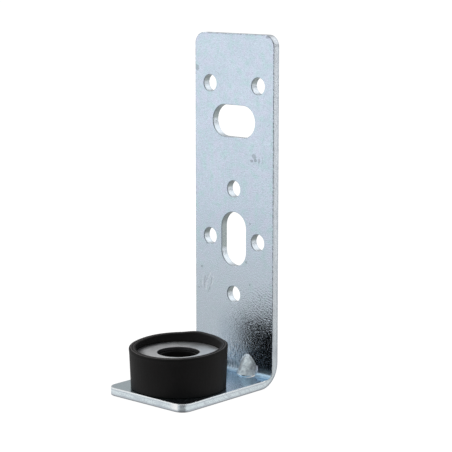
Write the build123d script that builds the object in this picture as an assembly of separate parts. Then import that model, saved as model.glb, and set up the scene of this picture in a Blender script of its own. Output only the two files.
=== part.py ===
from build123d import *
import math
import os

# Duct hanger: an L of folded zinc-plated strip with a rubber cup in its foot and a steel washer in the cup.
# Millimetres, +Z up. The origin is where the axis of the threaded rod meets the foot's underside. The
# upright's outer face, which is screwed to the duct, looks towards +Y, and the foot points towards -Y.

# Folded strip
strip_width = 30.0
strip_thickness = 2.4
upright_height = 100.7
rod_to_duct_face = 25.8
rod_to_foot_end = 14.0
bend_inner_radius = 2.0
bend_outer_radius = 6.9
corner_radius = 3.3
edge_rounding = 0.25

# Bolt slots in the upright: the upper one lies across it and the lower one along it
slot_length = 16.0
slot_width = 9.3
upper_slot_below_top = 25.0
lower_slot_z = 41.4

# Round screw holes: a pair above the upper slot, and one on each of the four sides of the lower slot
screw_hole_diameter = 4.9
screw_hole_spacing = 18.3
pair_above_upper_slot = 10.5
hole_above_lower_slot = 14.7
hole_below_lower_slot = 16.3
hole_rounding = 0.2

# Gussets pressed into the bend, as half-round ribs. A crest's ends lie on the strip's inner faces, this high above
# the foot's underside and this far in front of the duct face.
gusset_spacing = 11.7
gusset_width = 7.4
gusset_rise = 8.2
gusset_run = 5.9
gusset_wall = 2.3
gusset_blend = 0.7

# Rubber cup, which stands on the foot and passes through it
cup_base_diameter = 27.0
cup_rim_diameter = 27.9
cup_height = 11.9
rim_slope = 2.5
rim_wall = 1.85
rim_rounding = 0.45
recess_floor_height = 8.85
cup_base_rounding = 0.3
spigot_diameter = 16.0
rod_bore_diameter = 10.0

# Steel washer on the floor of the recess
washer_thickness = 1.0
washer_hole_diameter = 12.0
washer_edge_rounding = 0.15

# Clearances
washer_clearance = 0.1
spigot_clearance = 0.05

foot_length = rod_to_duct_face + rod_to_foot_end
upper_slot_z = upright_height - upper_slot_below_top


def strip_profile():
    """The strip seen from its side, its outer faces on the axes: two legs and a bend thinner than they are."""
    with BuildSketch(Plane.YZ) as profile:
        with BuildLine():
            Polyline(
                (0, 0),
                (0, upright_height),
                (-strip_thickness, upright_height),
                (-strip_thickness, strip_thickness),
                (-foot_length, strip_thickness),
                (-foot_length, 0),
                close=True,
            )
        make_face()
        inside_corner = profile.vertices().sort_by_distance((-strip_thickness, strip_thickness))[0]
        fillet(inside_corner, bend_inner_radius)
        outside_corner = profile.vertices().sort_by_distance((0, 0))[0]
        fillet(outside_corner, bend_outer_radius)
    return profile.sketch


def strip_blank():
    """The folded strip with rounded corners and edges, before anything is punched in it."""
    blank = extrude(strip_profile(), amount=strip_width / 2, both=True)
    top_corners = blank.edges().filter_by(Axis.Y).group_by(Axis.Z)[-1]
    blank = fillet(top_corners, corner_radius)
    end_corners = blank.edges().filter_by(Axis.Z).group_by(Axis.Y)[0]
    blank = fillet(end_corners, corner_radius)
    return fillet(blank.edges(), edge_rounding)


def corner_filling():
    """What lies inside the outer faces of the bend, so that a rib never stands out behind them."""
    reach = 2 * (gusset_rise + strip_thickness)
    with BuildSketch(Plane.YZ) as section:
        with BuildLine():
            Polyline((0, 0), (0, reach), (-reach, reach), (-reach, 0), close=True)
        make_face()
        outside_corner = section.vertices().sort_by_distance((0, 0))[0]
        fillet(outside_corner, bend_outer_radius)
    return extrude(section.sketch, amount=strip_width / 2, both=True)


def sloping_rod(x, radius):
    """A rod through the bend along a gusset, on the axis that both of its faces share."""
    slope = math.atan2(gusset_rise - strip_thickness, gusset_run - strip_thickness)
    axis_y = gusset_width / 2 * math.sin(slope) - gusset_run
    axis_z = strip_thickness - gusset_width / 2 * math.cos(slope)
    rod_plane = Plane(origin=(x, axis_y, axis_z), x_dir=(1, 0, 0), z_dir=(0, math.cos(slope), math.sin(slope)))
    rod_length = 4 * (gusset_rise + strip_thickness)
    return rod_plane * Cylinder(radius, rod_length)


def with_gussets(strip):
    """Presses the two stiffening ribs into the bend and blends them into it on both faces."""
    for x in (-gusset_spacing / 2, gusset_spacing / 2):
        rib = sloping_rod(x, gusset_width / 2) & corner_filling()
        ribbed = strip + rib
        ribbed = fillet(new_edges(strip, rib, combined=ribbed), gusset_blend)
        hollow = sloping_rod(x, gusset_width / 2 - gusset_wall)
        strip = ribbed - hollow
        strip = fillet(new_edges(ribbed, hollow, combined=strip), gusset_blend)
    return strip


def hole_positions():
    """Centres of the round screw holes, as x and z."""
    half = screw_hole_spacing / 2
    pair_z = upper_slot_z + pair_above_upper_slot
    pairs = [(side * half, z) for z in (pair_z, lower_slot_z) for side in (-1, 1)]
    above = (0, lower_slot_z + hole_above_lower_slot)
    below = (0, lower_slot_z - hole_below_lower_slot)
    return pairs + [above, below]


def punches():
    """The punched shapes of the upright, as prisms that pass through it."""
    face = Plane(origin=(0, 0, 0), x_dir=(1, 0, 0), z_dir=(0, -1, 0))
    reach = 2 * strip_thickness
    with BuildSketch(face) as shapes:
        with Locations(*hole_positions()):
            Circle(screw_hole_diameter / 2)
        with Locations((0, upper_slot_z)):
            SlotOverall(slot_length, slot_width)
        with Locations((0, lower_slot_z)):
            SlotOverall(slot_length, slot_width, rotation=90)
    return extrude(shapes.sketch, amount=reach, both=True)


def make_bracket():
    """The L-shaped strip: one folded and punched piece, its holes rounded a little at both faces."""
    strip = with_gussets(strip_blank())
    prisms = punches()
    punched = strip - prisms
    punched = fillet(new_edges(strip, prisms, combined=punched).filter_by(Plane.XZ), hole_rounding)
    in_place = Pos(0, rod_to_duct_face, 0) * punched
    hole_r = spigot_diameter / 2 + spigot_clearance
    return in_place - Pos(0, 0, strip_thickness / 2) * Cylinder(hole_r, 2 * strip_thickness)


def make_cup():
    """The rubber cup: a tapered wall with a recess on top, and a spigot through the foot below."""
    base_r = cup_base_diameter / 2
    rim_r = cup_rim_diameter / 2
    base_z = strip_thickness
    floor_z = base_z + recess_floor_height
    recess_r = rim_r - rim_wall
    blank_height = cup_height + rim_wall + rim_r * math.tan(math.radians(rim_slope))
    blank_r = base_r + (rim_r - base_r) * blank_height / cup_height
    top_z = base_z + blank_height
    with BuildPart() as cup:
        with BuildSketch(Plane.XZ):
            with BuildLine():
                Polyline(
                    (rod_bore_diameter / 2, 0),
                    (spigot_diameter / 2, 0),
                    (spigot_diameter / 2, base_z),
                    (base_r, base_z),
                    (blank_r, top_z),
                    (recess_r, top_z),
                    (recess_r, floor_z),
                    (rod_bore_diameter / 2, floor_z),
                    close=True,
                )
            make_face()
        revolve(axis=Axis.Z)
        base_edges = cup.edges().filter_by(GeomType.CIRCLE).group_by(Axis.Z)[1]
        fillet(base_edges.sort_by(SortBy.RADIUS)[-1], cup_base_rounding)
        rim_plane = Plane(origin=(0, 0, base_z + cup_height)).rotated((rim_slope, 0, 0))
        split(bisect_by=rim_plane, keep=Keep.BOTTOM)
        rim_edges = cup.faces().sort_by(Axis.Z)[-1].edges()
        fillet(rim_edges, rim_rounding)
    return cup.part


def make_washer():
    """The flat steel washer that spreads the nut's load over the rubber."""
    outer_r = cup_rim_diameter / 2 - rim_wall - washer_clearance
    ring = Cylinder(outer_r, washer_thickness) - Cylinder(washer_hole_diameter / 2, 2 * washer_thickness)
    ring = fillet(ring.edges().filter_by(GeomType.CIRCLE), washer_edge_rounding)
    middle_z = strip_thickness + recess_floor_height + washer_thickness / 2
    return Pos(0, 0, middle_z) * ring


nodes = {
    "bracket": make_bracket(),
    "rubber_cup": make_cup(),
    "washer": make_washer(),
}
os.makedirs("parts", exist_ok=True)
for name, solid in nodes.items():
    export_step(solid, f"parts/{name}.step")
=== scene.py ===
import math

import bpy
from mathutils import Matrix, Vector


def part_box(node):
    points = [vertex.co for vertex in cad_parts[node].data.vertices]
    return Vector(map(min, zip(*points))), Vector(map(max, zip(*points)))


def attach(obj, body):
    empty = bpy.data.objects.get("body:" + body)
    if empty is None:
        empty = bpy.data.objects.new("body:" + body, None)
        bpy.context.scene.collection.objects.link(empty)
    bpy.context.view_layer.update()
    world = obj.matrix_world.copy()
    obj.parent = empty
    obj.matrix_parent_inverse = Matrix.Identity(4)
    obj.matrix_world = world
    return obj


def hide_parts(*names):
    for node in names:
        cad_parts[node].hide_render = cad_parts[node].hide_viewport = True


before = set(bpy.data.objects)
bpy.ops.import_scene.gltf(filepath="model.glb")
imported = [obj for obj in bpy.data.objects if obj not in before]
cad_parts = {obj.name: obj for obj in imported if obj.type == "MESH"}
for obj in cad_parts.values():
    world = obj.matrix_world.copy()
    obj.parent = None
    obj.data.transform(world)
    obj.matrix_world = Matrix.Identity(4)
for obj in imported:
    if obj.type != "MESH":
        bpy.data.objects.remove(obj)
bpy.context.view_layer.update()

# The folded strip.
# One strip of cold-rolled steel, sheared, punched and folded once, with two gussets pressed into the bend.
# It was zinc-plated last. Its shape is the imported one, and this section gives it its finish.

MM = 0.001


class Value:
    """A value in a node tree. Arithmetic on it adds the Math nodes that work it out."""

    def __init__(self, nodes, socket):
        self.nodes = nodes
        self.socket = socket

    def __add__(self, other):
        return self.nodes.maths("ADD", self, other)

    def __sub__(self, other):
        return self.nodes.maths("SUBTRACT", self, other)

    def __rsub__(self, other):
        return self.nodes.maths("SUBTRACT", other, self)

    def __mul__(self, other):
        return self.nodes.maths("MULTIPLY", self, other)

    def __truediv__(self, other):
        return self.nodes.maths("DIVIDE", self, other)

    def __pow__(self, other):
        return self.nodes.maths("POWER", self, other)

    def __abs__(self):
        return self.nodes.maths("ABSOLUTE", self)

    __radd__ = __add__
    __rmul__ = __mul__


class Nodes:
    """A node tree and the ways to write it: of a material, of the world, or of a modifier."""

    def __init__(self, tree):
        self.tree = tree
        self.tree.nodes.clear()

    def node(self, kind, settings=None, sockets=None, output=0):
        """Adds a node: its settings first, then its sockets' values or links. Gives one of its outputs."""
        made = self.tree.nodes.new(kind)
        for name, value in (settings or {}).items():
            setattr(made, name, value)
        for name, value in (sockets or {}).items():
            socket = made.inputs[name]
            if isinstance(value, Value):
                self.tree.links.new(value.socket, socket)
            elif socket.type == "RGBA":
                socket.default_value = (*value, 1.0)
            else:
                socket.default_value = value
        return Value(self, made.outputs[output]) if made.outputs else made

    def maths(self, operation, *operands):
        """The result of a Math node's operation."""
        return self.node("ShaderNodeMath", {"operation": operation}, dict(enumerate(operands)))

    def length(self, *parts):
        """The length of a vector, from its parts."""
        first, *others = [part ** 2.0 for part in parts]
        return self.maths("SQRT", sum(others, first))

    def rise(self, value, low, high):
        """0 below low, 1 above high and smooth between them."""
        sockets = {"Value": value, "From Min": low, "From Max": high}
        return self.node("ShaderNodeMapRange", {"interpolation_type": "SMOOTHSTEP"}, sockets)

    def fall(self, value, low, high):
        """1 below low, 0 above high and smooth between them."""
        return 1 - self.rise(value, low, high)

    def ramp(self, value, low, high):
        """0 below low, 1 above high and straight between them."""
        return self.node("ShaderNodeMapRange", sockets={"Value": value, "From Min": low, "From Max": high})

    def within(self, value, low, high, soft):
        """1 between low and high, falling to 0 over a soft edge outside them."""
        return self.rise(value, low - soft, low) * self.fall(value, high, high + soft)

    def vector(self, x, y, z):
        """The vector with this x, y and z."""
        return self.node("ShaderNodeCombineXYZ", sockets={"X": x, "Y": y, "Z": z})

    def axes(self, vector):
        """The x, y and z of a vector."""
        return [self.node("ShaderNodeSeparateXYZ", sockets={0: vector}, output=axis) for axis in "XYZ"]


class Finish(Nodes):
    """The node tree of a material."""

    def __init__(self, name):
        self.material = bpy.data.materials.new(name)
        self.material.use_nodes = True
        super().__init__(self.material.node_tree)

    def places(self):
        """Object coordinates in millimetres, as a vector and as x, y and z."""
        coordinates = self.node("ShaderNodeTexCoord", output="Object")
        place = self.node("ShaderNodeVectorMath", {"operation": "SCALE"}, {0: coordinates, "Scale": 1 / MM})
        return place, *self.axes(place)

    def stretched(self, place, stretch):
        """The place with its x, y and z scaled, so that a pattern read there is drawn out along an axis."""
        return self.node("ShaderNodeMapping", sockets={"Vector": place, "Scale": stretch})

    def noise(self, place, size, detail=2.0, roughness=0.5):
        """Noise about 0.5, with features of about that size in millimetres."""
        sockets = {"Vector": place, "Scale": 1 / size, "Detail": detail, "Roughness": roughness}
        return self.node("ShaderNodeTexNoise", sockets=sockets)

    def mix(self, factor, first, second):
        """The colour first where factor is 0 and second where it is 1."""
        factor_socket, first_socket, second_socket, colour_output = 0, 6, 7, 2
        sockets = {factor_socket: factor, first_socket: first, second_socket: second}
        return self.node("ShaderNodeMix", {"data_type": "RGBA"}, sockets, colour_output)

    def leaning(self, x, y, z):
        """The surface's normal leant by x, y and z, for a normal of length 1."""
        normal = self.node("ShaderNodeNewGeometry", output="Normal")
        leant = self.node("ShaderNodeVectorMath", {"operation": "ADD"}, {0: normal, 1: self.vector(x, y, z)})
        return self.node("ShaderNodeVectorMath", {"operation": "NORMALIZE"}, {0: leant})

    def relief(self, height, normal=None):
        """The surface's normal over a relief in millimetres, on its own normal or on a given one."""
        sockets = {"Distance": MM, "Height": height}
        if normal:
            sockets["Normal"] = normal
        return self.node("ShaderNodeBump", sockets=sockets)

    def surface(self, shader):
        """Makes shader the surface of the material, and gives the material."""
        self.node("ShaderNodeOutputMaterial", sockets={"Surface": shader})
        return self.material


strip_low, strip_high = (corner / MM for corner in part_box("bracket"))
duct_face_y = strip_high.y
strip_thickness = 2.4
inner_face_y = duct_face_y - strip_thickness
bend_outer_radius = 6.9
bend_inner_radius = 2.0
corner_radius = 3.3

# Each hole's middle x and z, how far the middles of its round ends lie from there, and their radius
holes = [
    (-9.15, 86.2, 0.0, 0.0, 2.45),
    (9.15, 86.2, 0.0, 0.0, 2.45),
    (0.0, 75.7, 3.35, 0.0, 4.65),
    (0.0, 56.1, 0.0, 0.0, 2.45),
    (-9.15, 41.4, 0.0, 0.0, 2.45),
    (9.15, 41.4, 0.0, 0.0, 2.45),
    (0.0, 41.4, 0.0, 3.35, 4.65),
    (0.0, 25.1, 0.0, 0.0, 2.45),
]

# The zinc: its two shades, its tints, and what it turns to in places
zinc_deep = (0.565, 0.665, 0.765)
zinc_pale = (0.600, 0.695, 0.800)
zinc_greenish = (0.525, 0.685, 0.735)
zinc_violet = (0.612, 0.668, 0.795)
zinc_mottled = (0.530, 0.610, 0.680)
zinc_crystals = (0.625, 0.675, 0.835)
zinc_low_on_upright = (0.605, 0.680, 0.735)
# Painted shade: darker and bluer low in the bend and on the foot next to the upright
zinc_painted_shade_by_bend = (0.390, 0.585, 0.740)
zinc_at_foot_end = (0.555, 0.685, 0.715)

# The walls that were cut, which are brightest low on the upright
cut_low = (0.79, 0.85, 0.89)
cut_high = (0.73, 0.785, 0.84)
cut_on_foot = (0.74, 0.825, 0.86)
cut_dull = (0.42, 0.45, 0.50)
cut_groove = (0.50, 0.55, 0.60)
cut_streaks = (0.50, 0.56, 0.62)
cut_ticks = (0.46, 0.49, 0.54)
# Painted shade on the holes' upper walls and on the left of their lips, painted light on their lower walls
hole_wall_painted_shade = (0.36, 0.42, 0.41)
hole_wall_painted_light = (0.80, 0.88, 0.95)
hole_lip_painted_shade = (0.24, 0.28, 0.32)

# The gussets, and the steel that was drawn round them
gusset_steel = (0.68, 0.75, 0.80)
# Painted highlight on the gussets' crests and bases
gusset_painted_highlight = (0.84, 0.95, 1.00)
gusset_shade = (0.27, 0.31, 0.34)
gusset_dark_streaks = (0.30, 0.35, 0.38)
gusset_bright_streaks = (0.95, 1.00, 1.00)
glint_white = (0.96, 0.98, 1.00)
# Painted shade on the inner face between and just above the gussets
painted_shade_between_gussets = (0.42, 0.51, 0.60)
drawn_bright = (0.70, 0.77, 0.86)
drawn_dark = (0.28, 0.36, 0.43)

# The edges, with painted reflection, highlights and shade, and the marks on the inner face
upright_edge_painted_dark_reflection = (0.22, 0.24, 0.27)
foot_edge_painted_highlight = (0.95, 0.98, 1.00)
foot_edge_painted_shade = (0.24, 0.25, 0.26)
corner_painted_highlight = (1.00, 1.00, 1.00)
scuffed = (0.27, 0.31, 0.35)
scratched_dark = (0.40, 0.44, 0.49)
scratched_bright = (0.78, 0.84, 0.90)

# A bright arc on the foot round the right gusset: its middle x and y, and its radius
glint_middle = (6.0, 21.3)
glint_radius = 3.17

# Scuffs on the inner face: middle x and z, half-width and half-height, and strength
scuff_marks = [
    (7.80, 66.2, 0.85, 0.75, 0.55),
    (6.90, 64.8, 0.65, 0.40, 0.65),
    (8.30, 65.1, 0.60, 0.50, 0.65),
    (9.55, 65.0, 0.45, 0.80, 0.50),
    (10.9, 65.3, 0.18, 1.20, 0.25),
    (7.60, 64.1, 0.70, 0.25, 0.20),
    (-14.2, 90.4, 0.90, 0.90, 0.50),
    (12.8, 100.1, 0.90, 0.40, 0.60),
]

# Pits on the inner face: x, z and half-width. Their half-height is a share of that.
pits = [
    (6.3, 46.6, 0.40),
    (4.9, 35.2, 0.45),
    (-12.5, 31.8, 0.45),
    (-13.7, 25.3, 0.35),
    (6.2, 28.8, 0.40),
    (9.9, 26.1, 0.35),
    (10.9, 25.9, 0.35),
    (10.4, 24.9, 0.30),
    (-10.5, 39.0, 0.35),
    (13.2, 21.8, 0.30),
]
pit_flatness = 0.8
pit_strength = 0.5

# Scratches on the inner face, by their colour: middle x and z, half-length, bow and lean
scratches = {
    scratched_dark: [
        ((-9.0, 26.8), 2.9, -0.07, 0.30),
        ((-10.4, 28.6), 1.7, -0.12, 0.42),
        ((-11.5, 27.4), 2.3, 0.07, 0.10),
        ((-13.0, 26.4), 1.5, 0.12, -0.05),
        ((-6.2, 89.2), 0.6, -0.5, -1.6),
    ],
    scratched_bright: [
        ((-8.1, 27.9), 2.0, -0.10, 0.34),
        ((-10.6, 26.6), 2.1, 0.06, 0.22),
        ((-12.3, 27.6), 1.7, 0.09, 0.02),
        ((-9.3, 29.6), 1.1, -0.30, 0.55),
    ],
}

# Fine ridges, like a thumb's, pressed into the zinc low on the right: middle x and z, and half their size
ridges_middle = (10.8, 25.0)
ridges_size = (5.0, 7.0)
ridge_spacing = 1.0


class ZincPlating(Finish):
    """Bluish zinc over rolled steel: cloudy and grained, and streaked where the steel was cut or drawn.

    A mask is 1 where its name holds and 0 elsewhere. Its limits on a place, a depth or a distance are in
    millimetres, and its limits on a pattern lie between 0 and 1.
    """

    def __init__(self):
        super().__init__("zinc_plating")
        place, x, y, z = self.places()
        self.x = x
        self.y = y
        self.z = z

        # Patterns of the zinc, from coarse to fine
        self.clouds = self.noise(place, 9.0, detail=3.0)
        self.tints = self.noise(place, 2.6, detail=3.0)
        self.mottle = self.noise(place, 0.9, detail=2.0)
        self.ragged = self.noise(place, 0.7, detail=3.0) - 0.5
        self.grain = self.noise(place, 0.36, detail=1.0)
        self.crystals = self.rise(self.grain, 0.54, 0.66)

        # How strong the grain is: least on the foot, and full over the bend
        self.grainy = 0.45 + self.rise(z, 2.6, 3.6) * 0.22 + self.rise(z, 4.0, 16.0) * 0.38

        # Where a point lies on the strip
        self.on_foot = self.fall(z, 2.5, 4.5)
        self.inner_face = self.fall(abs(y - inner_face_y), 0.1, 0.3)
        self.depth = self.depth_in_strip()
        in_bend = self.within(abs(x), 0.0, 14.7, 0.1) * self.fall(z, 12.0, 13.0) * self.rise(y, 9.0, 10.0)

        # The walls that were cut, with streaks along them and ticks across them. The bend is left out: it is
        # thinner, and by its depth its inner face would pass for a cut wall.
        self.sheared = self.within(self.depth, 0.15, strip_thickness - 0.15, 0.1) * (1 - in_bend)
        along = y + z
        self.streaks = self.noise(self.vector(x * 0.10, along * 0.10, self.depth), 0.45, detail=3.0)
        self.ticks = self.noise(self.vector(x, along, self.depth * 0.3), 0.45, detail=3.0, roughness=0.6)

        # The gussets stand out of the bend. Their crests and bases get painted highlight in blotches.
        self.over_bend = self.height_over_bend()
        self.raised = in_bend * self.rise(self.over_bend, 0.06, 0.40)
        self.at_base = self.fall(z, 3.1, 3.9)
        crest = self.within(abs(x), 5.4, 7.2, 1.0) * (1 - self.rise(z, 6.0, 8.6) * 0.6)
        crest = self.maths("MAXIMUM", crest, self.at_base * self.within(abs(x), 5.2, 9.6, 0.8) * 0.7)
        blotches = self.rise(self.mottle + (self.tints - 0.5) * 0.6, 0.38, 0.58)
        self.crest = crest * (0.50 + blotches * 0.50)

        # The glint on the foot round the right gusset, and how far outside its arc a point lies
        glint_x, glint_y = glint_middle
        self.past_glint = self.length(x - glint_x, y - glint_y) - glint_radius
        arc = self.fall(abs(self.past_glint), 0.22, 0.45) * self.rise(x, 8.2, 8.8)
        self.glint = arc * self.within(z, 2.0, 2.6, 0.3)

        # The steel between the gussets was drawn out, and is streaky as they are
        self.pulled = self.noise(self.stretched(place, (1.0, 1.0, 0.4)), 0.6, detail=3.0)
        drawn = self.fall(abs(x), 5.0, 9.0) * self.fall(z, 9.0, 14.0) * self.rise(z, 2.5, 3.5)
        self.drawn = drawn * (1 - self.raised) * self.rise(y, 20.0, 22.0) * self.rise(self.depth, 0.9, 1.2)

    def positive(self, value):
        """The value where it is over 0, and 0 elsewhere."""
        return self.maths("MAXIMUM", value, 0.0)

    def depth_in_strip(self):
        """How deep a point lies under the strip's outer face, round the bend too, in millimetres."""
        past_bend_y = self.positive(self.y - (duct_face_y - bend_outer_radius))
        past_bend_z = self.positive(bend_outer_radius - self.z)
        return bend_outer_radius - self.length(past_bend_y, past_bend_z)

    def height_over_bend(self):
        """How far a point stands out of the strip's inner face, in the bend too, in millimetres."""
        past_bend_y = self.positive(self.y - (inner_face_y - bend_inner_radius))
        past_bend_z = self.positive((strip_thickness + bend_inner_radius) - self.z)
        return bend_inner_radius - self.length(past_bend_y, past_bend_z)

    def inside_outline(self):
        """How far a point lies inside the strip's outline with its rounded corners, in millimetres."""
        past_side = self.positive(abs(self.x) - (strip_high.x - corner_radius))
        past_top = self.positive(self.z - (strip_high.z - corner_radius))
        past_end = self.positive((strip_low.y + corner_radius) - self.y)
        return corner_radius - self.length(past_side, past_top, past_end)

    def hole_walls(self):
        """Three masks of the holes: walls with lips, their lower halves, and the left halves of the lips."""
        walls = lower = lips = 0.0
        for middle_x, middle_z, reach_x, reach_z, radius in holes:
            past_x = self.positive(abs(self.x - middle_x) - reach_x)
            past_z = self.positive(abs(self.z - middle_z) - reach_z)
            outside = self.length(past_x, past_z) - radius
            wall = self.fall(outside, 0.20, 0.35)
            walls = walls + wall
            lower = lower + wall * self.rise((middle_z - reach_z) - self.z, -0.8, 0.6)
            lips = lips + self.fall(outside, 0.08, 0.20) * self.rise(middle_x - self.x, -1.0, 1.0)
        return walls, lower, lips

    def ragged_spot(self, middle, size, raggedness):
        """1 in a ragged oval on the upright, falling to 0 round it."""
        across = (self.x - middle[0]) / size[0]
        along = (self.z - middle[1]) / size[1]
        return self.fall(self.length(across, along) + raggedness, 0.75, 1.15)

    def scratch(self, middle, half_length, bow, lean):
        """1 along a fine upright scratch, which bows and leans as x over z in millimetres, and 0 off it."""
        up = self.z - middle[1]
        off = abs(self.x - middle[0] - up * lean - up ** 2.0 * bow)
        return self.fall(off, 0.10, 0.32) * self.fall(abs(up), half_length * 0.6, half_length)

    def zinc(self):
        """The zinc's colour: clouds, tints, mottling, crystals, its slow change along the strip, and painted
        shade by the bend.
        """
        colour = self.mix(self.rise(self.clouds, 0.38, 0.62), zinc_deep, zinc_pale)
        colour = self.mix(self.rise(self.tints, 0.50, 0.66), colour, zinc_greenish)
        colour = self.mix(self.fall(self.tints, 0.34, 0.50), colour, zinc_violet)
        colour = self.mix(self.fall(self.mottle, 0.30, 0.45) * 0.4, colour, zinc_mottled)
        low_on_upright = self.fall(self.z + self.clouds * 20.0, 30.0, 60.0) * self.rise(self.z, 3.0, 9.0)
        colour = self.mix(low_on_upright * 0.7, colour, zinc_low_on_upright)
        # Painted shade low in the bend and on the foot next to the upright
        colour = self.mix(self.fall(self.z, 2.5, 5.0) * self.rise(self.y, 8.0, 16.0), colour, zinc_painted_shade_by_bend)
        colour = self.mix(self.on_foot * self.fall(self.y, -2.0, 10.0) * 0.8, colour, zinc_at_foot_end)
        return self.mix(self.crystals * 0.5, colour, zinc_crystals)

    def with_cuts(self, colour):
        """The walls that the shear and the punches cut: bright, and duller towards the outer face, with
        painted light and shade in the holes.
        """
        depth = self.depth
        sheared = self.sheared
        cut = self.mix(self.rise(self.z, 20.0, 60.0), cut_low, cut_high)
        cut = self.mix(self.on_foot, cut, cut_on_foot)
        colour = self.mix(sheared, colour, cut)
        dull = self.fall(depth + (self.streaks - 0.5) * 0.8, 0.35, 1.1)
        colour = self.mix(sheared * dull * (0.45 + self.on_foot * 0.35), colour, cut_dull)
        groove = self.within(depth + (self.streaks - 0.5) * 0.4, 1.75, 1.95, 0.15)
        marked = 0.30 + self.on_foot * 0.25
        colour = self.mix(sheared * groove * marked, colour, cut_groove)
        colour = self.mix(sheared * self.fall(self.streaks, 0.38, 0.50) * marked, colour, cut_streaks)
        ticked = 0.35 + self.on_foot * 0.25
        colour = self.mix(sheared * self.fall(self.ticks, 0.36, 0.48) * ticked, colour, cut_ticks)

        # A hole's lower wall gets painted light and the rest of it painted shade, and a line of painted shade
        # follows its lip on the left
        walls, lower_walls, lips = self.hole_walls()
        in_hole = sheared * walls
        colour = self.mix(in_hole * (1 - lower_walls) * 0.75, colour, hole_wall_painted_shade)
        colour = self.mix(in_hole * lower_walls * 0.80, colour, hole_wall_painted_light)
        return self.mix(lips * self.rise(depth, 2.05, 2.2) * 0.65, colour, hole_lip_painted_shade)

    def with_gussets(self, colour):
        """The gussets with their shaded sides, painted highlight on crests and bases, and streaks, the glint,
        and painted shade on the steel between the gussets.
        """
        x = abs(self.x)
        z = self.z
        raised = self.raised
        shaded = self.rise(x + z, 13.4, 14.6) * 0.85
        shaded = self.maths("MAXIMUM", shaded, self.rise(x, 7.3, 8.2) * self.rise(z, 4.0, 4.8) * 0.45)
        shaded = self.maths("MAXIMUM", shaded, self.fall(x, 4.4, 5.5) * (1 - self.at_base) * 0.55)
        colour = self.mix(raised * 0.7, colour, gusset_steel)
        # Painted highlight on the gussets' crests and bases
        colour = self.mix(raised * self.crest, colour, gusset_painted_highlight)
        colour = self.mix(raised * shaded, colour, gusset_shade)
        dark_streaks = self.fall(self.pulled, 0.38, 0.50)
        colour = self.mix(raised * dark_streaks * 0.30, colour, gusset_dark_streaks)
        colour = self.mix(raised * self.rise(self.pulled, 0.48, 0.62) * 0.35, colour, gusset_bright_streaks)
        colour = self.mix(self.glint, colour, glint_white)
        # Painted shade on the inner face between and just above the gussets
        between = self.fall(x, 3.0, 8.0) * self.fall(z, 9.0, 24.0) * self.rise(self.y, 15.0, 19.0)
        between = between * (1 - raised) * self.rise(self.depth, 0.9, 1.2)
        colour = self.mix(between * (0.25 + self.rise(z, 5.0, 9.0) * 0.55), colour, painted_shade_between_gussets)
        colour = self.mix(self.drawn * self.rise(self.pulled, 0.48, 0.60) * 0.60, colour, drawn_bright)
        return self.mix(self.drawn * dark_streaks * 0.60, colour, drawn_dark)

    def with_edges(self, colour):
        """A painted dark reflection along the upright's edges. The foot's edges get a painted highlight above,
        painted shade below and a painted highlight by a corner.
        """
        inside = self.inside_outline()
        upright_edge = self.fall(inside, 0.22, 0.38) * (1 - self.sheared) * (1 - self.on_foot)
        # A painted dark reflection along the upright's edges, patchy
        colour = self.mix(upright_edge * self.fall(self.ticks, 0.42, 0.60) * 0.8, colour, upright_edge_painted_dark_reflection)
        foot_edge = self.fall(inside, 0.25, 0.40) * self.on_foot
        # A painted highlight along the foot's top edge
        colour = self.mix(foot_edge * self.rise(self.depth, 1.95, 2.15) * 0.8, colour, foot_edge_painted_highlight)
        # Painted shade along the foot's bottom edge
        colour = self.mix(foot_edge * self.fall(self.depth, 0.20, 0.50) * 0.8, colour, foot_edge_painted_shade)
        # A painted highlight on the foot's end face by its near right corner
        corner_highlight = self.rise(self.x, 9.0, 12.2) * self.fall(self.x, 12.5, 13.1)
        corner_highlight = corner_highlight * self.fall(self.y, -13.9, -13.5) * foot_edge * self.rise(self.depth, 0.4, 0.9)
        return self.mix(corner_highlight * 0.9, colour, corner_painted_highlight)

    def with_marks(self, colour):
        """Scuffs, pits and scratches on the upright's inner face."""
        scuffs = 0.0
        for middle_x, middle_z, half_width, half_height, strength in scuff_marks:
            spot = self.ragged_spot((middle_x, middle_z), (half_width, half_height), self.ragged)
            scuffs = scuffs + spot * strength
        for pit_x, pit_z, size in pits:
            spot = self.ragged_spot((pit_x, pit_z), (size, size * pit_flatness), self.ragged)
            scuffs = scuffs + spot * pit_strength
        colour = self.mix(scuffs * self.inner_face, colour, scuffed)
        for tone, marks in scratches.items():
            shine = 0.0
            for mark in marks:
                shine = shine + self.scratch(*mark)
            patchy = shine * self.inner_face * self.rise(self.mottle, 0.30, 0.55)
            colour = self.mix(patchy * 0.65, colour, tone)
        return colour

    def height(self):
        """The relief in millimetres: ridges, grain, cut walls, gussets and the steel drawn between them."""
        ridged = self.ragged_spot(ridges_middle, ridges_size, (self.tints - 0.5) * 1.5) * self.inner_face
        waves = (self.x * 0.5 + self.z + self.clouds * 6.0) * (math.tau / ridge_spacing)
        ridges = self.maths("SINE", waves) * ridged
        grain = self.grain * (self.grainy * 0.070 + self.raised * 0.06)
        cuts = self.sheared * (self.ticks + self.streaks) * 0.03
        gussets = self.mottle * self.raised * 0.12
        return ridges * 0.008 + grain + cuts + gussets + self.drawn * self.pulled * 0.12

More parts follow.
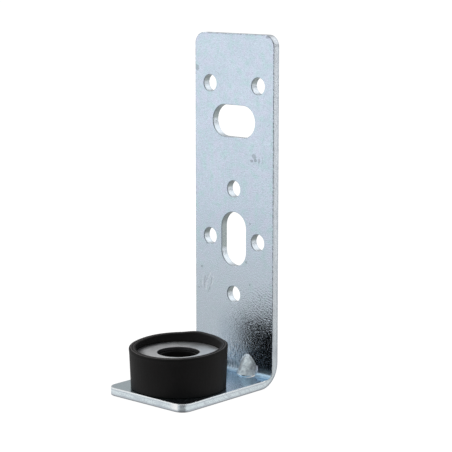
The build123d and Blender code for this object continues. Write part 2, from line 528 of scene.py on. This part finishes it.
    def roughness(self):
        """How rough it is: more in the crystals, on cut walls, low on the upright and on formed steel."""
        z = self.z
        by_gussets = self.fall(abs(self.x), 7.5, 9.5) * self.fall(z, 3.5, 6.5)
        by_gussets = by_gussets * self.rise(self.y, 13.0, 17.0)
        formed = self.maths("MAXIMUM", self.raised, by_gussets * self.rise(z, 2.41, 2.8))
        folded = self.within(z, 2.45, 4.40, 0.6) * self.rise(self.y, 21.0, 21.6)
        formed = self.maths("MAXIMUM", formed, folded * 0.55)
        rough = 0.125 + self.tints * 0.05 + self.crystals * self.grainy * 0.24 + self.sheared * 0.12
        rough = rough + formed * (1 - self.glint) * 0.28
        return rough + self.fall(z, 4.0, 14.0) * (1 - self.on_foot) * 0.05 + self.drawn * 0.06

    def leant_normal(self):
        """The normal, leant up on the gussets and aside at their feet, as if they ended more softly."""
        x = self.x
        z = self.z
        low_on_gusset = self.fall(z, 3.2, 5.2)
        up = self.raised * (0.04 + self.crest * 0.30 + low_on_gusset * 0.15 + self.at_base * 0.35)
        seam = self.within(abs(x), 9.1, 9.4, 0.1) * self.within(z, 3.2, 6.0, 0.6)
        up = up + seam * self.rise(self.over_bend, 0.003, 0.02) * 0.6
        foot_face = self.fall(z, 2.5, 2.8)
        skirt = self.fall(self.past_glint, -0.9, -0.1) * foot_face * self.rise(x, 5.5, 7.0)
        beside = self.within(x, 9.4, 11.2, 0.8) * self.rise(self.y, 19.8, 20.8)
        beside = beside * foot_face * (1 - self.glint)
        right = self.glint * 0.3 + skirt * 0.2 + beside * 0.35
        back = self.glint * -0.6 - skirt * 0.3 - beside * 0.1
        return self.leaning(right, back, up)

    def plated(self):
        """The finished material."""
        colour = self.with_cuts(self.zinc())
        colour = self.with_gussets(colour)
        colour = self.with_edges(colour)
        colour = self.with_marks(colour)
        return self.surface(self.node("ShaderNodeBsdfPrincipled", sockets={
            "Base Color": colour,
            "Metallic": 1 - self.raised * 0.2,
            "Roughness": self.roughness(),
            "Normal": self.relief(self.height(), self.leant_normal()),
        }))


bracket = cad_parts["bracket"]
bracket.data.materials.clear()
bracket.data.materials.append(ZincPlating().plated())

# The rubber cup.
# One black moulding, pushed through the hole of the foot from above. Its base stands on the foot, its spigot
# fills the hole, and its rim, a little higher towards the upright, stands round the washer.

bore_radius = 5.0
spigot_radius = 8.0
base_radius = 13.5
rim_radius = 13.95
recess_radius = 12.1
recess_floor_z = 11.25
rim_z = 14.3
rim_slope = math.radians(2.5)
turning_steps = 256

# Where the rim stands up or sags: direction and half-width in degrees, and height in millimetres
rim_bumps = [(110.0, 22.0, 0.36), (68.0, 24.0, -0.30), (-172.0, 30.0, -0.10), (-48.0, 140.0, -0.30)]

# The outline's corners: r, z and the radius that each is rounded to
cup_corners = [
    (bore_radius, 0.0, 0.15),
    (spigot_radius, 0.0, 0.15),
    (spigot_radius, strip_thickness, 0.0),
    (base_radius, strip_thickness, 0.3),
    (rim_radius - 0.03, rim_z - 1.3, 0.5),
    (rim_radius + 0.05, rim_z - 0.6, 0.5),
    (rim_radius, rim_z, 0.30),
    (recess_radius, rim_z, 0.25),
    (recess_radius, recess_floor_z, 0.0),
    (bore_radius, recess_floor_z, 0.2),
]

rubber_black = (0.0030, 0.0026, 0.0027)
rubber_bloom = (0.0052, 0.0045, 0.0046)
rubber_rings_painted_highlight = (0.1050, 0.0960, 0.0960)
rubber_rim_edge = (0.0030, 0.0028, 0.0028)
rubber_in_recess = (0.0090, 0.0084, 0.0084)


def rounded(corners, arc_steps=8):
    """A closed outline through the corners, each rounded to its radius."""
    outline = []
    for index, (r, z, radius) in enumerate(corners):
        corner = Vector((r, z))
        if not radius:
            outline.append(corner)
            continue
        before = (Vector(corners[index - 1][:2]) - corner).normalized()
        after = (Vector(corners[(index + 1) % len(corners)][:2]) - corner).normalized()
        half = before.angle(after) / 2
        centre = corner + (before + after).normalized() * (radius / math.sin(half))
        start = corner + before * (radius / math.tan(half)) - centre
        end = corner + after * (radius / math.tan(half)) - centre
        sweep = -start.angle_signed(end)
        for step in range(arc_steps + 1):
            outline.append(centre + Matrix.Rotation(sweep * step / arc_steps, 2) @ start)
    return outline


def with_loops(outline, spacing=0.8, margin=0.1):
    """The outline with points added along its runs, the first and last of them close to the run's ends."""
    finer = []
    for start, end in zip(outline, outline[1:] + outline[:1]):
        finer.append(start)
        run = end - start
        length = run.length
        if length < 4 * margin:
            continue
        inner = length - 2 * margin
        parts = math.ceil(inner / spacing)
        finer += [start + run * ((margin + inner * part / parts) / length) for part in range(parts + 1)]
    return finer


def turning_tree():
    """The modifier's tree: it sweeps an outline round the z axis, and lifts its rim by a slope and bumps."""
    tree = bpy.data.node_groups.new("turning", "GeometryNodeTree")
    inputs = {
        "Outline": "NodeSocketGeometry",
        "Steps": "NodeSocketInt",
        "Rim Bottom": "NodeSocketFloat",
        "Rim Top": "NodeSocketFloat",
        "Rim Slope": "NodeSocketFloat",
        "Rim Bumps": "NodeSocketFloat",
        "Material": "NodeSocketMaterial",
    }
    for label, kind in inputs.items():
        tree.interface.new_socket(label, in_out="INPUT", socket_type=kind)
    tree.interface.new_socket("Piece", in_out="OUTPUT", socket_type="NodeSocketGeometry")
    shape = Nodes(tree)
    given = {label: shape.node("NodeGroupInput", output=label) for label in inputs}

    # Each column of the grid is a step of the turn. Its rows are the outline's points and the first one again.
    outline = given["Outline"]
    counted = {"Geometry": outline}
    count = shape.node("GeometryNodeAttributeDomainSize", sockets=counted, output="Point Count")
    rows = count + 1
    grid = shape.node("GeometryNodeMeshGrid", sockets={"Vertices X": given["Steps"] + 1, "Vertices Y": rows})
    index = shape.node("GeometryNodeInputIndex")
    column = shape.maths("FLOOR", (index + 0.5) / rows)
    row = index - column * rows
    point = shape.node("GeometryNodeSampleIndex", {"data_type": "FLOAT_VECTOR"}, {
        "Geometry": outline,
        "Value": shape.node("GeometryNodeInputPosition"),
        "Index": shape.maths("MODULO", row, count),
    })
    turn = column / given["Steps"] * math.tau
    about_z = {"rotation_type": "Z_AXIS"}
    swept = shape.node("ShaderNodeVectorRotate", about_z, {"Vector": point, "Angle": turn})
    closed = shape.node("GeometryNodeMergeByDistance", sockets={
        "Geometry": shape.node("GeometryNodeSetPosition", sockets={"Geometry": grid, "Position": swept}),
        "Distance": 0.001 * MM,
    })

    # The rim's slope and bumps, from nothing at its bottom to their full height at its top
    x, y, z = shape.axes(shape.node("GeometryNodeInputPosition"))
    angle = shape.maths("ARCTAN2", y, x)
    bumps = 0.0
    for direction, half_width, lift in rim_bumps:
        apart = abs(angle - math.radians(direction))
        away = shape.maths("MINIMUM", apart, math.tau - apart)
        bumps = bumps + shape.fall(away, 0.0, math.radians(half_width)) * (lift * MM)
    up_the_rim = shape.rise(z, given["Rim Bottom"], given["Rim Top"])
    lifted = up_the_rim * (y * given["Rim Slope"] + bumps * given["Rim Bumps"])
    offset = shape.vector(0.0, 0.0, lifted)
    raised = shape.node("GeometryNodeSetPosition", sockets={"Geometry": closed, "Offset": offset})
    smooth = shape.node("GeometryNodeSetShadeSmooth", sockets={"Geometry": raised})
    real = shape.node("GeometryNodeRealizeInstances", sockets={"Geometry": smooth})
    dressed = shape.node("GeometryNodeSetMaterial", sockets={
        "Geometry": real,
        "Material": given["Material"],
    })
    shape.node("NodeGroupOutput", sockets={"Piece": dressed})
    return tree


def turned_piece(name, outline, tree, values):
    """A piece turned from an outline in millimetres, as a plain mesh."""
    mesh = bpy.data.meshes.new(name + "_outline")
    mesh.from_pydata([(point.x * MM, 0.0, point.y * MM) for point in outline], [], [])
    blank = bpy.data.objects.new(name + "_blank", mesh)
    bpy.context.scene.collection.objects.link(blank)
    turning = blank.modifiers.new("turning", "NODES")
    turning.node_group = tree
    for item in tree.interface.items_tree:
        if item.name in values:
            turning[item.identifier] = values[item.name]
    evaluated = blank.evaluated_get(bpy.context.evaluated_depsgraph_get())
    piece = bpy.data.objects.new(name, bpy.data.meshes.new_from_object(evaluated))
    bpy.context.scene.collection.objects.link(piece)
    bpy.data.objects.remove(blank)
    return piece


def black_rubber():
    """Black rubber off the mould: dull and faintly cloudy, with streaks up its wall, and ridged rings on its
    rim with painted highlight along them.
    """
    finish = Finish("black_rubber")
    place, x, y, z = finish.places()
    radius = finish.length(x, y)
    bloom = finish.noise(place, 3.0, detail=3.0)
    streaks = finish.noise(finish.stretched(place, (1.0, 1.0, 0.08)), 0.6, detail=3.0)
    skin = finish.noise(place, 0.25, detail=2.0)
    wandering = radius + (finish.noise(place, 1.5, detail=3.0) - 0.5) * 0.5
    rings = finish.within(wandering, 12.65, 12.75, 0.15) * 0.6 + finish.within(wandering, 13.30, 13.45, 0.15)
    on_rim = finish.rise(z, rim_z - 1.6, rim_z - 0.9)
    colour = finish.mix(finish.rise(bloom, 0.35, 0.7), rubber_black, rubber_bloom)
    # Ridged rings on the rim, with painted highlight along them
    colour = finish.mix(on_rim * rings, colour, rubber_rings_painted_highlight)
    colour = finish.mix(on_rim * finish.rise(radius, 13.60, 13.75), colour, rubber_rim_edge)
    in_recess = finish.rise(radius, 9.0, 10.0) * finish.fall(radius, 12.15, 12.45)
    colour = finish.mix(in_recess, colour, rubber_in_recess)
    height = skin * 0.012 + streaks * 0.05 * (1 - on_rim) + rings * 0.05 * on_rim
    return finish.surface(finish.node("ShaderNodeBsdfPrincipled", sockets={
        "Base Color": colour,
        "Roughness": 0.54 + bloom * 0.12,
        "Specular IOR Level": 0.19,
        "Normal": finish.relief(height),
    }))


cup = turned_piece("cup", with_loops(rounded(cup_corners)), turning_tree(), {
    "Steps": turning_steps,
    "Rim Bottom": (recess_floor_z + 0.4) * MM,
    "Rim Top": (rim_z - 0.6) * MM,
    "Rim Slope": math.tan(rim_slope),
    "Rim Bumps": 1.0,
    "Material": black_rubber(),
})
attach(cup, "root")
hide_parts("rubber_cup")

# The washer.
# A flat ring punched from plated steel, dropped into the cup's recess to spread the load of the nut. Its
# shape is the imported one.

washer_hole_radius = 6.0
washer_deep = (0.79, 0.80, 0.81)
washer_pale = (0.86, 0.87, 0.88)
washer_dark_edge_and_painted_shade = (0.08, 0.08, 0.09)
washer_painted_shade_tint = (0.10, 0.10, 0.11)

# The painted shade lies on the side that faces away from this x and y
unshaded_side = (0.744, 0.668)


def washer_steel():
    """Plated steel with a satin face, fine scratches and a dark hole edge, and painted shade that darkens
    towards one side's rim.
    """
    finish = Finish("washer_steel")
    place, x, y, _ = finish.places()
    clouds = finish.noise(place, 3.0, detail=3.0)
    grain = finish.noise(place, 0.35, detail=2.0)
    fine_scratches = finish.noise(finish.stretched(place, (1.0, 0.06, 1.0)), 0.5, detail=3.0)
    radius = finish.length(x, y)
    colour = finish.mix(finish.rise(clouds, 0.35, 0.65), washer_deep, washer_pale)
    # Darker along the hole's edge
    hole_edge = finish.fall(radius, washer_hole_radius + 0.02, washer_hole_radius + 0.12)
    colour = finish.mix(hole_edge * 0.85, colour, washer_dark_edge_and_painted_shade)
    # Painted shade on one side, darkest towards its rim
    towards_unshaded_side = x * unshaded_side[0] + y * unshaded_side[1]
    painted_shade_side = finish.fall(towards_unshaded_side, -8.0, -1.0)
    towards_rim = finish.rise(radius - towards_unshaded_side * 0.09, 9.6, 12.4)
    colour = finish.mix(painted_shade_side * towards_rim * 0.90, colour, washer_dark_edge_and_painted_shade)
    colour = finish.mix(painted_shade_side * 0.15, colour, washer_painted_shade_tint)
    return finish.surface(finish.node("ShaderNodeBsdfPrincipled", sockets={
        "Base Color": colour,
        "Metallic": 1.0,
        "Roughness": 0.40 + clouds * 0.12,
        "Normal": finish.relief(grain * 0.04 + fine_scratches * 0.02),
    }))


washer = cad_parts["washer"]
washer.data.materials.clear()
washer.data.materials.append(washer_steel())

# The floor, the light and the camera.
# A pale floor under a pale studio, lit softly from above and from the front left, and a long lens at the
# photograph's viewing angle. The camera sees plain white behind the hanger.

# Where the camera stands round the hanger, from -Y towards +X, and how high over the level
camera_azimuth = math.radians(41.94)
camera_elevation = math.radians(9.80)
camera_distance = 472.65 * MM
camera_target = Vector((-2.83, 23.26, 44.98)) * MM

# The floor is a square with sides of 8 m, just under the foot, so that their faces don't share a plane
floor_drop = 0.02
half_floor = 4.0
floor_mesh = bpy.data.meshes.new("floor")
floor_corners = [
    (-half_floor, -half_floor, 0),
    (half_floor, -half_floor, 0),
    (half_floor, half_floor, 0),
    (-half_floor, half_floor, 0),
]
floor_mesh.from_pydata(floor_corners, [], [(0, 1, 2, 3)])
floor = bpy.data.objects.new("floor", floor_mesh)
bpy.context.scene.collection.objects.link(floor)
floor.location.z = -floor_drop * MM


def pale_floor():
    """A pale sheet that keeps the hanger's shadow. The camera sees it white, the metal bright in places, with
    painted light and a painted shadow.
    """
    finish = Finish("pale_floor")
    _, x, y, _ = finish.places()

    # The metal sees it brightest far off and, by painted light, round the hanger. A painted shadow dims it
    # behind the hanger, and painted shade dims it towards the camera from the foot's near corner.
    distance = finish.length(x, y)
    lit = 0.50 + finish.ramp(distance, 60.0, 420.0) * 0.24 + finish.ramp(distance, 420.0, 580.0) * 0.22
    # Painted light round the hanger
    lit = lit + finish.within(x, -27.0, 26.0, 5.0) * finish.within(y, -27.0, 52.0, 8.0) * 0.27
    # Painted shade towards the camera from the foot's near corner
    corner_x = x - (strip_high.x - corner_radius)
    corner_y = y - (strip_low.y + corner_radius)
    corner_distance = finish.length(corner_x, corner_y) + 0.1
    to_front = corner_x * math.sin(camera_azimuth) - corner_y * math.cos(camera_azimuth)
    lit = lit * (1 - finish.rise(to_front / corner_distance, 0.84, 0.96) * 0.70)
    # A painted shadow behind the hanger
    from_painted_shadow_middle = finish.length(x + 15.0, y - 80.0)
    lit = lit * (1 - finish.fall(from_painted_shadow_middle, 20.0, 90.0) * 0.5)

    to_camera = finish.node("ShaderNodeLightPath", output="Is Camera Ray")
    to_metal = finish.node("ShaderNodeLightPath", output="Is Glossy Ray")
    level = to_camera * 0.9 + (1 - to_camera) * lit
    grey = finish.node("ShaderNodeCombineColor", sockets={"Red": level, "Green": level, "Blue": level})
    glow = finish.node("ShaderNodeEmission", sockets={"Color": grey})
    shaded = finish.node("ShaderNodeBsdfDiffuse", sockets={"Color": (0.25, 0.25, 0.25)})
    seen = finish.node("ShaderNodeAddShader", sockets={0: shaded, 1: glow})
    plain = finish.node("ShaderNodeBsdfDiffuse", sockets={"Color": (0.8, 0.8, 0.8)})
    by_eye = finish.maths("MAXIMUM", to_camera, to_metal)
    return finish.surface(finish.node("ShaderNodeMixShader", sockets={0: by_eye, 1: plain, 2: seen}))


floor_mesh.materials.append(pale_floor())


def studio_light(world):
    """White for the camera. Else grey at the horizon, brighter above and darker behind the camera."""
    world.use_nodes = True
    studio = Nodes(world.node_tree)
    x, y, z = studio.axes(studio.node("ShaderNodeTexCoord", output="Generated"))

    # The length of the direction's level part, kept over 0, and how far that part faces the camera and the
    # front left
    level = studio.length(x, y, 0.01)
    facing = (x * math.sin(camera_azimuth) - y * math.cos(camera_azimuth)) / level
    leftward = (0 - x * math.sin(camera_azimuth) - y * math.cos(camera_azimuth)) / level
    behind_camera = studio.rise(facing, math.cos(math.radians(60)), math.cos(math.radians(35)))
    behind_camera = behind_camera * studio.fall(z, 0.45, 0.75)
    front_left = studio.rise(leftward, 0.2, 0.8) * studio.fall(z, 0.30, 0.70)

    # A soft panel high up behind the hanger on the right
    facing_panel = x * 0.32 + y * 0.66 + z * 0.68
    panel = studio.rise(facing_panel, math.cos(math.radians(42)), math.cos(math.radians(24)))
    strength = 0.46 + studio.rise(z, 0.15, 0.60) * 0.10 + front_left * 0.42 + panel * 0.55
    strength = strength * (1 - behind_camera * 0.65)

    to_camera = studio.node("ShaderNodeLightPath", output="Is Camera Ray")
    around = studio.node("ShaderNodeBackground", sockets={"Color": (1.0, 1.0, 1.0), "Strength": strength})
    white = studio.node("ShaderNodeBackground", sockets={"Color": (1.0, 1.0, 1.0), "Strength": 1.0})
    seen = studio.node("ShaderNodeMixShader", sockets={0: to_camera, 1: around, 2: white})
    studio.node("ShaderNodeOutputWorld", sockets={"Surface": seen})
    return world


bpy.context.scene.world = studio_light(bpy.data.worlds.new("studio"))

# A weak square lamp on the front left, above the hanger and aimed at its middle
key_aim = Vector((0, 0, 0.05))
key_light = bpy.data.lights.new("key", "AREA")
key_light.shape = "RECTANGLE"
key_light.size = 0.5
key_light.size_y = 0.5
key_light.energy = 0.6
key = bpy.data.objects.new("key", key_light)
key.location = (-0.45, -0.35, 0.6)
key.rotation_euler = (key_aim - key.location).to_track_quat("-Z", "Y").to_euler()
bpy.context.scene.collection.objects.link(key)

lens = bpy.data.cameras.new("camera")
lens.sensor_width = 36.0
lens.lens = 129.6
camera = bpy.data.objects.new("camera", lens)
away = Vector((
    math.sin(camera_azimuth) * math.cos(camera_elevation),
    -math.cos(camera_azimuth) * math.cos(camera_elevation),
    math.sin(camera_elevation),
))
camera.location = camera_target + away * camera_distance
camera.rotation_mode = "QUATERNION"
camera.rotation_quaternion = (-away).to_track_quat("-Z", "Y")
bpy.context.scene.collection.objects.link(camera)
bpy.context.scene.camera = camera
bpy.context.scene.view_settings.view_transform = "Standard"
